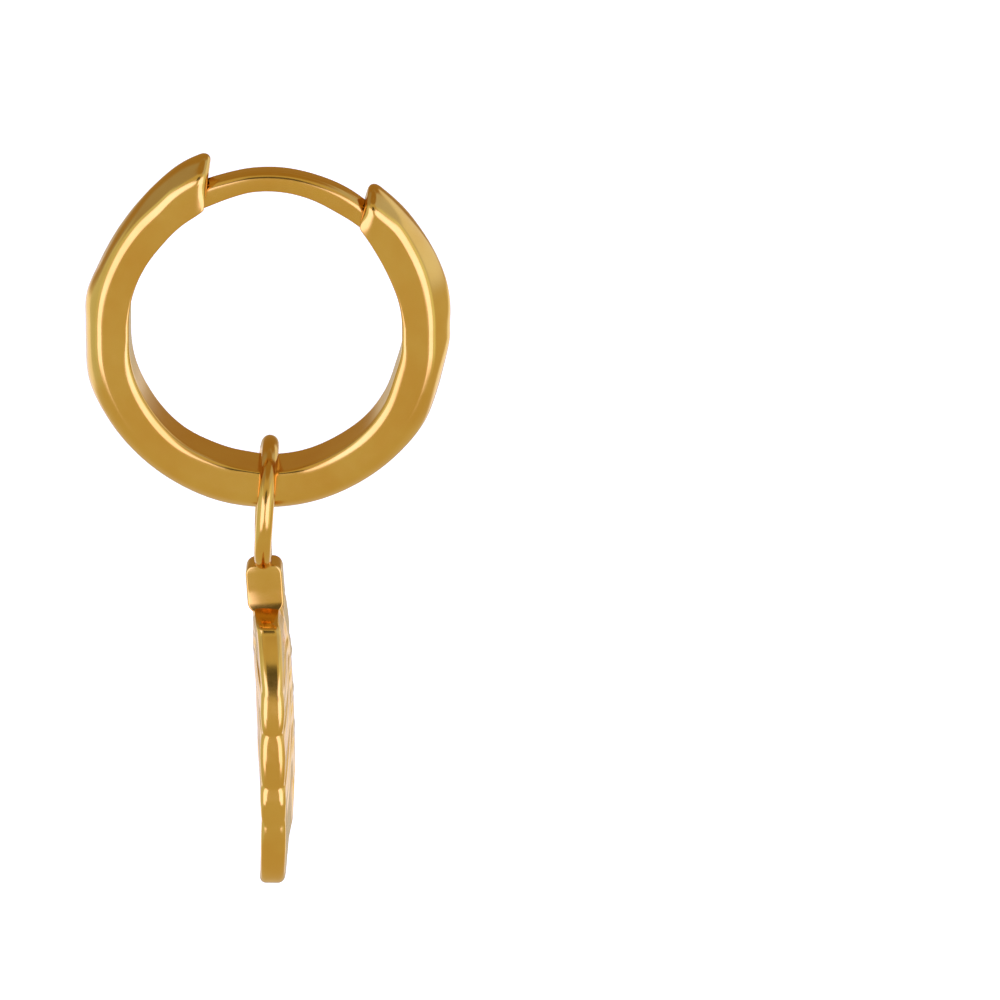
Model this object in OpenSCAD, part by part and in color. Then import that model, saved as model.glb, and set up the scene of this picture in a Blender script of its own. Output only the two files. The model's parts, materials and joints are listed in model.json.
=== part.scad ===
// Hinged hoop earring with a lobed leaf charm hanging from it on a fixed ring.
// X runs to the wearer's side of the picture, Y away from the viewer and Z up.
// The origin is the middle of the ear post, where the ear lobe sits.

/* [Hoop] */
// Width of the hoop across its outside
hoop_w = 13; // [11:0.1:18]
// Length of the short straight run at each side, which makes the hoop taller than wide
side_run = 0.55; // [0.2:0.05:2]
// Thickness of the band, from the hole to the outside
band_t = 1.52; // [1.35:0.01:1.9]
// Width of the band, from its front face to its back face
band_w = 2.1; // [1.8:0.05:2.6]
// Radius that rounds the band's two outer edges
outer_round = 0.65; // [0.3:0.05:0.8]
// Radius that rounds the band's two inner edges
inner_round = 0.15; // [0.05:0.01:0.25]
// Angle from the top to the open end that catches the post, at the hole, in degrees
catch_angle = 26.5; // [20:0.5:32]
// Angle from the top to the open end that holds the hinge, at the hole, in degrees
hinge_angle = 42.5; // [38:0.5:46]
// Lean of both open ends to the right at their top, in degrees
end_lean = 8; // [0:0.5:12]

/* [Ear post] */
// Thickness of the post in the hoop's plane
post_t = 0.7; // [0.55:0.01:0.8]
// Width of the post from front to back
post_w = 0.95; // [0.7:0.05:1.2]
// Radius that rounds the post's two outer edges
post_round = 0.3; // [0.1:0.05:0.34]
// How far the post lies outside the line of the hole
post_inset = 0.05; // [0.02:0.01:0.1]
// How far the post's tip reaches into the catch, in degrees
tip_reach = 8; // [6:0.5:12]
// Height of the small nib under the post's tip that snaps into the catch
nib_h = 0.08; // [0.04:0.01:0.15]
// Diameter of the eye at the post's hinge end
eye_d = 1; // [0.8:0.05:1.1]

/* [Hinge pin] */
// Diameter of the hinge pin
pin_d = 0.4; // [0.3:0.05:0.5]
// Metal left in front of the pin's blind hole
pin_cover = 0.3; // [0.2:0.05:0.4]
// Angle past the hinge end at which the pin sits, in degrees
pin_offset = 4; // [3.5:0.5:6]

/* [Clearances] */
// Gap between the post and the slots that take it
slot_gap = 0.05; // [0.03:0.01:0.1]
// Gap between the pin and the post's eye
pin_run = 0.03; // [0.01:0.01:0.06]
// Gap between the pin and the hole that it is pressed into
pin_seat = 0.01; // [0.005:0.005:0.02]
// Gap between the charm's ring and the two inner edges of the band
ring_gap = 0.05; // [0.03:0.01:0.15]

/* [Charm ring] */
// Thickness of the ring's wire
ring_wire = 0.62; // [0.5:0.01:0.8]
// How far the ring's centre hangs below the hole's lowest point
ring_hang = 1.5; // [1.3:0.05:2]
// Lean of the ring to the left at its foot, in degrees
ring_lean = 3.5; // [0:0.1:5]
// Turn of the ring about its upright line, in degrees
ring_turn = 1.8; // [0:0.1:6]

/* [Leaf] */
// Height of the leaf
leaf_h = 10.65; // [8:0.05:14]
// Width of the leaf
leaf_w = 7.2; // [5:0.1:10]
// Thickness of the leaf along its middle rib
leaf_t = 1.36; // [1:0.02:2]
// Sideways bow of the leaf from its collar to its tip
leaf_bow = 0.34; // [0:0.01:0.6]
// How far the leaf's tip turns back from that bow
tip_back = 0.17; // [0:0.01:0.3]
// Height of the raised veins
vein_h = 0.13; // [0.05:0.01:0.2]
// Depth of the folds between the lobes
fold_h = 0.12; // [0.05:0.01:0.2]
// Width of the collar that carries the leaf
collar_w = 1.25; // [1:0.05:1.6]
// Depth of the collar from front to back
collar_deep = 1.1; // [0.9:0.05:1.5]
// Height of the collar
collar_h = 1.75; // [1.4:0.05:2.2]
// Radius that rounds the collar's edges
collar_round = 0.3; // [0.1:0.05:0.4]
// Lean of the collar to the right at its foot, in degrees
collar_lean = 4; // [0:0.5:6]
// How far the collar reaches down over the leaf's top
collar_lap = 0.15; // [0.1:0.01:0.3]
// How far the collar is soldered up around the ring's foot
solder_depth = 0.2; // [0.1:0.05:0.3]

/* [Hidden] */
gold = "goldenrod";
warm_gold = "darkgoldenrod";
$fn = 96;

// The line of the hole and the outside, as radii of the upper and lower half rings.
outer_r = hoop_w / 2;
inner_r = outer_r - band_t;
band_half = band_w / 2;

// The post's radii, and the heights of the centres of the hoop's lower and upper arcs.
post_in = inner_r + post_inset;
post_out = post_in + post_t;
post_mid = post_in + post_t / 2;
low_z = -(post_mid + side_run);
arc_z = low_z + side_run;

// The two points of the hole's line where the band is cut open, and the width of the opening
// across the two parallel cuts.
catch_x = -inner_r * sin(catch_angle);
catch_z = arc_z + inner_r * cos(catch_angle);
hinge_x = inner_r * sin(hinge_angle);
hinge_z = arc_z + inner_r * cos(hinge_angle);
opening_w = (hinge_x - catch_x) * cos(end_lean) - (hinge_z - catch_z) * sin(end_lean);

// The hinge pin's place in the hoop's plane.
pin_angle = hinge_angle + pin_offset;
pin_r = post_in + eye_d / 2;
pin_x = pin_r * sin(pin_angle);
pin_z = arc_z + pin_r * cos(pin_angle);
slot_half = post_w / 2 + slot_gap;
eye_room = eye_d / 2 + slot_gap;

// The far corner of the post's tip, and the swing that the catch leaves free for it.
tip_angle = catch_angle + tip_reach;
tip_dx = pin_x + post_out * sin(tip_angle);
tip_dz = arc_z + post_out * cos(tip_angle) - pin_z;
tip_swing = sqrt(tip_dx * tip_dx + tip_dz * tip_dz) + slot_gap;

// The ring's size and place, so that it hangs on the band's two inner edges. The collar's
// top sits at the leaning ring's foot, and the leaf starts at the leaning collar's foot.
hole_bottom = low_z - inner_r;
edge_y = band_half - inner_round;
edge_z = ring_hang - inner_round;
ring_in = sqrt(edge_y * edge_y + edge_z * edge_z) + inner_round + ring_gap;
ring_r = ring_in + ring_wire / 2;
ring_out = ring_in + ring_wire;
ring_z = hole_bottom - ring_hang;
foot_x = -ring_r * sin(ring_lean);
collar_top = ring_z - ring_out + solder_depth;
leaf_top = collar_top - collar_h + collar_lap;
root_x = foot_x + collar_h * sin(collar_lean);

// Where two solids are cut or joined, the tool runs past the face by this much.
past = 1;

// The catch slot's sweep, which ends past the wall that the tip's swing leaves.
reach_deg = 60;

// The folds between the lobes, from the collar down to the tip. The columns are the rib
// share where the fold starts, the width share and height share where it ends, and the
// share of the leaf's thickness that its rim has there.
FOLDS = [
    [0.00, 0.10, 0.00, 0.75],
    [0.11, 0.92, 0.225, 0.42],
    [0.225, 0.96, 0.37, 0.46],
    [0.34, 0.975, 0.56, 0.60],
    [0.47, 0.93, 0.69, 0.66],
    [0.60, 0.00, 1.00, 0.60],
];

// The lobes between them. The columns are the width share and height share of the lobe's
// outermost point, and its rim's share of the leaf's thickness. The first row's point is
// where the rounded corner between the leaf's flat top and its side ends.
LOBES = [
    [0.60, 0.035, 0.50],
    [0.97, 0.295, 0.46],
    [1.00, 0.46, 0.53],
    [0.99, 0.62, 0.62],
];

// How full the leaf is down its rib. The columns are the rib share, and the left face's and
// the right face's share of the half thickness.
BELLY = [
    [0.00, 0.72, 0.72],
    [0.15, 1.00, 1.00],
    [0.49, 0.98, 1.00],
    [0.62, 0.70, 1.00],
    [0.79, 0.68, 0.96],
    [0.87, 0.66, 0.66],
    [1.00, 0.60, 0.58],
];

// Rows to a lobe, and the places between the rib and the rim where a row has its points.
LOBE_STEPS = 8;
RIM_STEPS = [0, 0.12, 0.3, 0.5, 0.7, 0.86, 0.95, 1];

// The first lobe's swell below its corner and the widths of rib, veins and folds, all as
// shares, and the powers that shape the bow and the tip's turn back.
SIDE_SWELL = 0.04;
RIB_WIDTH = 0.07;
VEIN_WIDTH = 0.14;
FOLD_WIDTH = 0.1;
BOW_POWER = 4;
TIP_POWER = 8;
last_row = len(LOBES) * LOBE_STEPS + LOBE_STEPS;
rim_col = len(RIM_STEPS) - 1;
row_size = 2 * rim_col + 1;

function lerp(a, b, q) = a + (b - a) * q;
function bell(x, width) = exp(-pow(x / width, 2));

// The lobe that a row belongs to, and how far across the lobe the row lies.
function row_lobe(row) = min(floor(row / LOBE_STEPS), len(LOBES));
function row_share(row) = row / LOBE_STEPS - row_lobe(row);

// One column of the lobe's outline: half the way is the lobe's point, the ends its folds.
function lobe_value(a, b, peak, q) = lerp(a, b, q) + sin(180 * q) * (peak - lerp(a, b, 0.5));

// The first lobe turns a quarter round from the flat top to the side, then runs down the side.
function corner_y(q) = q < 0.5
    ? lerp(FOLDS[0][1], LOBES[0][0], sin(180 * q))
    : lerp(LOBES[0][0], FOLDS[1][1], 2 * q - 1) + SIDE_SWELL * sin(360 * q - 180);
function corner_d(q) = q < 0.5
    ? lerp(FOLDS[0][2], LOBES[0][1], 1 - cos(180 * q))
    : lerp(LOBES[0][1], FOLDS[1][2], 2 * q - 1);
function corner_share(q) = q < 0.5
    ? lerp(LOBES[0][2], FOLDS[0][3], pow(1 - 2 * q, 4))
    : lerp(LOBES[0][2], FOLDS[1][3], 2 * q - 1);

function rim_y(k, q) = k == 0 ? corner_y(q)
    : k < len(LOBES) ? lobe_value(FOLDS[k][1], FOLDS[k + 1][1], LOBES[k][0], q)
    : FOLDS[k][1] * cos(90 * q);
function rim_d(k, q) = k == 0 ? corner_d(q)
    : k < len(LOBES) ? lobe_value(FOLDS[k][2], FOLDS[k + 1][2], LOBES[k][1], q)
    : lerp(FOLDS[k][2], 1, sin(90 * q));
function rim_share(k, q) = k == 0 ? corner_share(q)
    : k < len(LOBES)
    ? (q < 0.5 ? lerp(FOLDS[k][3], LOBES[k][2], 2 * q) : lerp(LOBES[k][2], FOLDS[k + 1][3], 2 * q - 1))
    : lerp(FOLDS[k][3], FOLDS[k + 1][3], q);

// The folds are low between lobes and the veins high along each lobe's middle.
function fold_here(k, q) = bell(q, FOLD_WIDTH) + (k < len(LOBES) ? bell(1 - q, FOLD_WIDTH) : 0);
function vein_here(k, q) = k < len(LOBES) ? bell(q - 0.5, VEIN_WIDTH) : bell(1 - q, VEIN_WIDTH);
function relief(k, q, u) =
    vein_h * max(bell(u, RIB_WIDTH * 2), vein_here(k, q) * (1 - u * u) * 0.8)
    - fold_h * fold_here(k, q) * sin(180 * u);
function belly(d, face) = lookup(d, [for (row = BELLY) [row[0], row[face < 0 ? 1 : 2]]]);
function half_thick(k, q, u, d, face) =
    lerp((leaf_t / 2 - vein_h) * belly(d, face), rim_share(k, q) * leaf_t / 2, u * u) + relief(k, q, u);

function bow_x(d) = root_x + leaf_bow * (1 - pow(1 - min(d, 1), BOW_POWER)) - tip_back * pow(d, TIP_POWER);

// One point of the leaf. Side is -1 towards the viewer and 1 away, face is -1 left, 1 right.
function leaf_point(row, col, face) =
    let (
        k = row_lobe(row),
        q = row_share(row),
        u = RIM_STEPS[abs(col)],
        origin = lerp(FOLDS[k][0], FOLDS[k + 1][0], q),
        d = lerp(origin, rim_d(k, q), u),
        y = sign(col) * rim_y(k, q) * u * leaf_w / 2
    )
    [bow_x(d) + face * half_thick(k, q, u, d, face), y, leaf_top - d * leaf_h];

// The last row lies on the middle line, so its two sides share their points.
function leaf_index(row, col, face) =
    let (c = row == last_row ? abs(col) : col)
    (face < 0 ? 0 : (last_row + 1) * row_size) + row * row_size + rim_col + c;

function quad(a, b, c, d) = [[a, c, b], [a, d, c]];

module half_ring_bend(from, sweep) {
    rotate([90, 0, 0]) rotate([0, 0, from]) rotate_extrude(angle = sweep) children();
}

// The band's section, with the hole on the left at inner_r and the outside on the right.
module band_section() {
    intersection() {
        union() {
            translate([inner_r + inner_round, -band_half]) square([band_t, band_w]);
            translate([inner_r, -edge_y]) square([band_t, 2 * edge_y]);
            for (side = [-1, 1])
                translate([inner_r + inner_round, side * edge_y]) circle(r = inner_round);
        }
        union() {
            translate([inner_r - past, -band_half]) square([band_t - outer_round + past, band_w]);
            translate([inner_r - past, -band_half + outer_round])
                square([band_t + past, band_w - 2 * outer_round]);
            for (side = [-1, 1])
                translate([outer_r - outer_round, side * (band_half - outer_round)])
                    circle(r = outer_round);
        }
    }
}

// The opening between the band's two ends, cut along two parallel planes.
module open_top() {
    translate([catch_x, 0, catch_z]) rotate([0, end_lean, 0]) translate([0, -band_w, -band_t])
        cube([opening_w, 2 * band_w, hoop_w]);
}

// The two half rings and the straight runs between them, cut open at the top.
module band() {
    difference() {
        union() {
            translate([0, 0, low_z]) half_ring_bend(180, 180) band_section();
            for (side = [0, 180])
                translate([0, 0, low_z]) rotate([0, 0, side]) linear_extrude(side_run) band_section();
            translate([0, 0, arc_z]) half_ring_bend(0, 180) band_section();
        }
        open_top();
    }
}

// A flat ring sector in the hoop's plane, from one angle to another, through the slot's width.
module slot_sector(from, sweep, radius) {
    translate([0, 0, arc_z]) half_ring_bend(from, sweep)
        translate([inner_r - past, -slot_half]) square([radius - inner_r + past, 2 * slot_half]);
}

module along_y(r, half) {
    rotate([90, 0, 0]) cylinder(r = r, h = 2 * half, center = true);
}

// The slot that takes the post's tip. Its far wall follows the tip's swing about the pin.
module catch_slot() {
    intersection() {
        slot_sector(90, reach_deg, post_out + slot_gap);
        translate([pin_x, 0, pin_z]) along_y(tip_swing, slot_half + past);
    }
}

// The slot that takes the post's eye, open towards the hole so that the post can swing in.
module hinge_slot() {
    slot_sector(90 - pin_angle, pin_angle, post_out + slot_gap);
    translate([pin_x, 0, pin_z]) {
        along_y(eye_room, slot_half);
        rotate([0, pin_angle, 0]) translate([0, 0, -eye_d])
            cube([2 * eye_room, 2 * slot_half, 2 * eye_d], center = true);
    }
}

// The pin's blind hole runs in from the back face.
module pin_bore(r, back) {
    front_y = -band_half + pin_cover;
    translate([pin_x, band_half + back, pin_z]) rotate([90, 0, 0])
        cylinder(r = r, h = band_half + back - front_y);
}

module hoop_body() {
    color(gold) difference() {
        band();
        catch_slot();
        hinge_slot();
        pin_bore(pin_d / 2 + pin_seat, past);
    }
}

module post_section() {
    intersection() {
        translate([post_in, -post_w / 2]) square([post_t, post_w]);
        union() {
            translate([post_in, -post_w / 2]) square([post_t - post_round, post_w]);
            translate([post_in, -post_w / 2 + post_round]) square([post_t, post_w - 2 * post_round]);
            for (side = [-1, 1])
                translate([post_out - post_round, side * (post_w / 2 - post_round)])
                    circle(r = post_round);
        }
    }
}

// The post is a plain arc from its eye to its tip, with a small nib under the tip.
module ear_post() {
    nib_r = nib_h + post_inset;
    color(warm_gold) difference() {
        union() {
            translate([0, 0, arc_z]) half_ring_bend(90 - pin_angle, pin_angle + tip_angle) post_section();
            translate([pin_x, 0, pin_z]) along_y(eye_d / 2, post_w / 2);
            translate([0, 0, arc_z]) rotate([0, -tip_angle + tip_reach / 3, 0])
                translate([0, 0, post_in + nib_r - nib_h]) along_y(nib_r, post_w / 2 - post_round);
        }
        translate([pin_x, 0, pin_z]) along_y(pin_d / 2 + pin_run, post_w);
    }
}

module hinge_pin() {
    color(gold) pin_bore(pin_d / 2, -pin_seat);
}

module ring() {
    translate([0, 0, ring_z]) rotate([0, ring_lean, ring_turn]) rotate([0, 90, 0])
        rotate_extrude() translate([ring_r, 0]) circle(d = ring_wire, $fn = 48);
}

// A plate with rounded corners, as thick as asked and centred.
module rounded_plate(w, h, r, thick) {
    linear_extrude(thick, center = true) {
        square([w - 2 * r, h], center = true);
        square([w, h - 2 * r], center = true);
        for (x = [-1, 1], y = [-1, 1])
            translate([x * (w / 2 - r), y * (h / 2 - r)]) circle(r = r);
    }
}

// The collar is a block, rounded as seen from the top and from the front, that leans.
module collar() {
    translate([foot_x, 0, collar_top]) rotate([0, -collar_lean, 0]) translate([0, 0, -collar_h / 2])
        intersection() {
            rounded_plate(collar_w, collar_deep, collar_round, collar_h);
            rotate([90, 0, 0]) rounded_plate(collar_w, collar_h, collar_round, collar_deep);
        }
}

module leaf() {
    points = [
        for (face = [-1, 1])
            for (row = [0 : last_row])
                for (col = [-rim_col : rim_col])
                    leaf_point(row, col, face)
    ];
    left = [
        for (row = [0 : last_row - 1])
            for (col = [-rim_col : rim_col - 1])
                each quad(
                    leaf_index(row, col, -1), leaf_index(row, col + 1, -1),
                    leaf_index(row + 1, col + 1, -1), leaf_index(row + 1, col, -1))
    ];
    right = [
        for (row = [0 : last_row - 1])
            for (col = [-rim_col : rim_col - 1])
                each quad(
                    leaf_index(row, col, 1), leaf_index(row + 1, col, 1),
                    leaf_index(row + 1, col + 1, 1), leaf_index(row, col + 1, 1))
    ];
    top = [
        for (col = [-rim_col : rim_col - 1])
            each quad(
                leaf_index(0, col, -1), leaf_index(0, col, 1),
                leaf_index(0, col + 1, 1), leaf_index(0, col + 1, -1))
    ];
    near_rim = [
        for (row = [0 : last_row - 1])
            each quad(
                leaf_index(row, -rim_col, -1), leaf_index(row + 1, -rim_col, -1),
                leaf_index(row + 1, -rim_col, 1), leaf_index(row, -rim_col, 1))
    ];
    far_rim = [
        for (row = [0 : last_row - 1])
            each quad(
                leaf_index(row, rim_col, -1), leaf_index(row, rim_col, 1),
                leaf_index(row + 1, rim_col, 1), leaf_index(row + 1, rim_col, -1))
    ];
    polyhedron(points = points, faces = concat(left, right, top, near_rim, far_rim));
}

// The ring, the collar and the leaf are soldered into one piece.
module charm() {
    color(gold) {
        ring();
        collar();
        leaf();
    }
}

hoop_body();
ear_post();
hinge_pin();
charm();
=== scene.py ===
"""Looks of a hinged hoop earring with a lobed leaf charm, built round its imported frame.

Every piece is a closed mesh of its own in polished gold plate. Sizes are millimetres until a mesh is
made. An angle in the hoop's plane is in degrees from its top, clockwise as the viewer sees it.
"""

import json
import logging
import math
from dataclasses import dataclass
from enum import Enum

import bmesh
import bpy
import numpy as np
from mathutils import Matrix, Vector


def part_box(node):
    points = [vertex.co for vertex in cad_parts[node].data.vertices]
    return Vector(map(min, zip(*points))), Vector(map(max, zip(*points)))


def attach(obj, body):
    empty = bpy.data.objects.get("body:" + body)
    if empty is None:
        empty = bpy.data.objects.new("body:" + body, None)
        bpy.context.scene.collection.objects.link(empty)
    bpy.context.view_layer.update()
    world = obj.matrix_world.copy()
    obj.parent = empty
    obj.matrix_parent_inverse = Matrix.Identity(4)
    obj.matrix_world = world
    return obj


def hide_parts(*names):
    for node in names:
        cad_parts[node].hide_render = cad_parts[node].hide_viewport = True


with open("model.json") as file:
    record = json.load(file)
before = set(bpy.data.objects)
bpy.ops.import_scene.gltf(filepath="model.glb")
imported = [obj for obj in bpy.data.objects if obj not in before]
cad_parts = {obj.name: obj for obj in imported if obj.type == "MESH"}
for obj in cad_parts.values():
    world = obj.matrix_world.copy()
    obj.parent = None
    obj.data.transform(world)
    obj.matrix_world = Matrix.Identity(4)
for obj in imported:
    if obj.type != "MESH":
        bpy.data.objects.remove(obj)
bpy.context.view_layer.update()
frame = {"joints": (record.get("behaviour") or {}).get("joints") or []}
MM = 0.001
# Edges that turn by more than this stay crisp, on the turned and cut pieces and on the cast charm.
CUT_CREASE_DEG = 32.0
CAST_CREASE_DEG = 40.0
# Points nearer to each other than this, in metres, are one point.
SAME_PLACE = 1e-7
# How strongly large faces rule the shading of the edges beside them.
FACE_WEIGHT = 80
# A colour mix node's share and its two colours, and the output that carries their mix.
MIX_SHARE, MIX_FIRST, MIX_SECOND = 0, 6, 7
MIX_RESULT = 2
LOG = logging.getLogger("earring")

Pair = tuple[float, float]
Point = tuple[float, float, float]
Table = tuple[tuple[float, ...], ...]


class Cut(Enum):
    """How one closed mesh acts on another."""

    ADD = "UNION"
    REMOVE = "DIFFERENCE"


class LightTone(Enum):
    """The colour of a lit surface in the studio."""

    PAPER = "#FFFFFF"
    COOL_BOX = "#A8ABFF"
    SKYLIGHT = "#C4D0FF"
    CREAM_WALL = "#F0EEFF"
    AMBER_WALL = "#FFDD9B"
    PALE_WALL = "#DAECFF"
    WARM_ROOM = "#FFFBE6"


def linear(hex_colour: str) -> tuple[float, float, float, float]:
    """Turns an sRGB hex colour into linear red, green, blue and alpha.

    Args:
        hex_colour: six hex digits after a hash sign.

    Returns:
        The linear colour with alpha 1.
    """
    parts = [int(hex_colour[i : i + 2], 16) / 255 for i in (1, 3, 5)]
    red, green, blue = (c / 12.92 if c <= 0.04045 else ((c + 0.055) / 1.055) ** 2.4 for c in parts)
    return red, green, blue, 1.0


def box_mm(node: str) -> tuple[Vector, Vector]:
    """Gives a frame node's lowest and highest corners in millimetres."""
    low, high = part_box(node)
    return low / MM, high / MM


def joint_mm(name: str) -> Vector:
    """Gives the place of a joint of the frame in millimetres."""
    found = next(joint for joint in frame["joints"] if joint["name"] == name)
    return Vector(found["pos_m"]) / MM


def lerp(a: float, b: float, share: float) -> float:
    """Goes from a to b as the share goes from 0 to 1."""
    return a + (b - a) * share


def bell(x: float, width: float) -> float:
    """Gives a smooth hump that is 1 at 0 and dies away within a few widths."""
    return math.exp(-((x / width) ** 2))


def smooth_step(x: float) -> float:
    """Eases from 0 to 1 as x goes from 0 to 1, and stays flat outside."""
    x = min(max(x, 0.0), 1.0)
    return x * x * (3 - 2 * x)


def curve_at(table: Table, at: float, column: int = 1) -> float:
    """Reads a smooth curve through a table's rows, which start with a rising key.

    Args:
        table: rows of a key and its values.
        at: the key to read at.
        column: the column to read.

    Returns:
        The value there, or the end row's value outside the table.
    """
    if at <= table[0][0]:
        return table[0][column]
    if at >= table[-1][0]:
        return table[-1][column]
    i = next(k for k in range(len(table) - 1) if at <= table[k + 1][0])
    before, lower, upper, after = (table[min(max(k, 0), len(table) - 1)] for k in (i - 1, i, i + 1, i + 2))
    span = upper[0] - lower[0]
    share = (at - lower[0]) / span
    slope_in = (upper[column] - before[column]) / (upper[0] - before[0]) * span
    slope_out = (after[column] - lower[column]) / (after[0] - lower[0]) * span
    a, b = lower[column], upper[column]
    square, cube = share**2, share**3
    return (
        a * (2 * cube - 3 * square + 1)
        + slope_in * (cube - 2 * square + share)
        + b * (3 * square - 2 * cube)
        + slope_out * (cube - square)
    )


def line_at(table: Table, at: float, column: int = 1) -> float:
    """Reads a table's rows along straight lines from row to row."""
    keys = [row[0] for row in table]
    return float(np.interp(at, keys, [row[column] for row in table]))


def wrapped(angle: float) -> float:
    """Brings an angle in degrees to between -180 and 180."""
    return (angle + 180) % 360 - 180


def make_mesh(name: str, points: list[Point], faces: list[tuple[int, ...]]) -> bpy.types.Object:
    """Makes an object from points in millimetres and faces, and puts it in the scene.

    Args:
        name: the object's name.
        points: x, y and z of each point.
        faces: the point numbers of each face.

    Returns:
        The new object.
    """
    mesh = bpy.data.meshes.new(name)
    mesh.from_pydata([Vector(p) * MM for p in points], [], faces)
    mesh.update()
    piece = bpy.data.objects.new(name, mesh)
    bpy.context.scene.collection.objects.link(piece)
    return piece


def skin(rings: list[list[Point]]) -> list[tuple[int, ...]]:
    """Gives the faces between rings of equal count, one after another.

    Args:
        rings: the rings, each turning the same way.

    Returns:
        The point numbers of each face.
    """
    count = len(rings[0])
    return [
        (a * count + i, a * count + (i + 1) % count, (a + 1) * count + (i + 1) % count, (a + 1) * count + i)
        for a in range(len(rings) - 1)
        for i in range(count)
    ]


def loft(name: str, rings: list[list[Point]]) -> bpy.types.Object:
    """Skins rings of equal count one after another and closes both ends with a face.

    Args:
        name: the object's name.
        rings: the rings, each turning the same way.

    Returns:
        A closed mesh.
    """
    count = len(rings[0])
    last = (len(rings) - 1) * count
    ends = [tuple(reversed(range(count))), tuple(range(last, last + count))]
    return outward(make_mesh(name, [p for ring in rings for p in ring], skin(rings) + ends))


def outward(piece: bpy.types.Object) -> bpy.types.Object:
    """Turns a closed mesh the right way out, if its volume comes out negative.

    Args:
        piece: the closed mesh.

    Returns:
        The same mesh.
    """
    mesh = piece.data
    mesh.calc_loop_triangles()
    corners = np.array([v.co for v in mesh.vertices], float)
    triangles = np.array([t.vertices for t in mesh.loop_triangles], int)
    a, b, c = (corners[triangles[:, k]] for k in range(3))
    if float(np.einsum("ij,ij->i", a, np.cross(b, c)).sum()) < 0:
        mesh.flip_normals()
    return piece


def weld(piece: bpy.types.Object) -> bpy.types.Object:
    """Merges points that share a place.

    Args:
        piece: the mesh.

    Returns:
        The same mesh.
    """
    work = bmesh.new()
    work.from_mesh(piece.data)
    bmesh.ops.remove_doubles(work, verts=work.verts, dist=SAME_PLACE)
    work.to_mesh(piece.data)
    work.free()
    return piece


def cut(piece: bpy.types.Object, tool: bpy.types.Object, how: Cut) -> bpy.types.Object:
    """Joins a closed tool to a closed piece, or cuts it away, and deletes the tool.

    Args:
        piece: the mesh that stays.
        tool: the mesh that acts on it.
        how: whether the tool is added or removed.

    Returns:
        The piece with its new mesh.
    """
    modifier = piece.modifiers.new("cut", "BOOLEAN")
    modifier.operation = how.value
    modifier.solver = "MANIFOLD"
    modifier.object = tool
    bpy.context.view_layer.update()
    evaluated = piece.evaluated_get(bpy.context.evaluated_depsgraph_get())
    made = bpy.data.meshes.new_from_object(evaluated)
    piece.modifiers.clear()
    piece.data = made
    bpy.data.objects.remove(tool)
    return piece


def soften(piece: bpy.types.Object, crease_deg: float) -> bpy.types.Object:
    """Shades a mesh smooth up to a crease angle, with flat faces kept flat.

    Args:
        piece: the piece.
        crease_deg: the angle above which an edge stays crisp.

    Returns:
        The same piece.
    """
    mesh = piece.data
    mesh.shade_smooth()
    mesh.set_sharp_from_angle(angle=math.radians(crease_deg))
    weighted = piece.modifiers.new("even_normals", "WEIGHTED_NORMAL")
    weighted.keep_sharp = True
    weighted.weight = FACE_WEIGHT
    return piece


def lathe_y(name: str, centre: Vector, radius: float, ends: Pair, edge: float) -> bpy.types.Object:
    """Makes a round plug along Y with softened edges.

    Args:
        name: the object's name.
        centre: a point on its axis.
        radius: its radius.
        ends: its lowest and highest y.
        edge: the radius that softens each end's edge, or 0.

    Returns:
        A closed mesh.
    """
    sides = 72
    edge_step = 15
    low, high = ends
    profile = [(radius, low), (radius, high)]
    if edge > 0:
        turns = [math.radians(t) for t in range(0, 91, edge_step)]
        profile = [(radius - edge + edge * math.sin(t), low + edge - edge * math.cos(t)) for t in turns]
        profile += [(r, high + low - y) for r, y in reversed(profile)]
    angles = [2 * math.pi * i / sides for i in range(sides)]
    return loft(
        name,
        [[(centre.x + r * math.cos(a), y, centre.z + r * math.sin(a)) for a in angles] for r, y in profile],
    )


def add_node(
    tree: bpy.types.NodeTree,
    kind: str,
    settings: dict[str, object] | None = None,
    inputs: dict[str | int, object] | None = None,
) -> bpy.types.Node:
    """Adds one node, sets its properties and fills or links its sockets.

    Args:
        tree: the node tree.
        kind: the node's type.
        settings: its properties by name.
        inputs: for each socket, by name or number, a value or the output that feeds it.

    Returns:
        The new node.
    """
    node = tree.nodes.new(kind)
    for key, value in (settings or {}).items():
        setattr(node, key, value)
    for key, value in (inputs or {}).items():
        if isinstance(value, bpy.types.NodeSocket):
            tree.links.new(value, node.inputs[key])
        else:
            node.inputs[key].default_value = value
    return node


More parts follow.
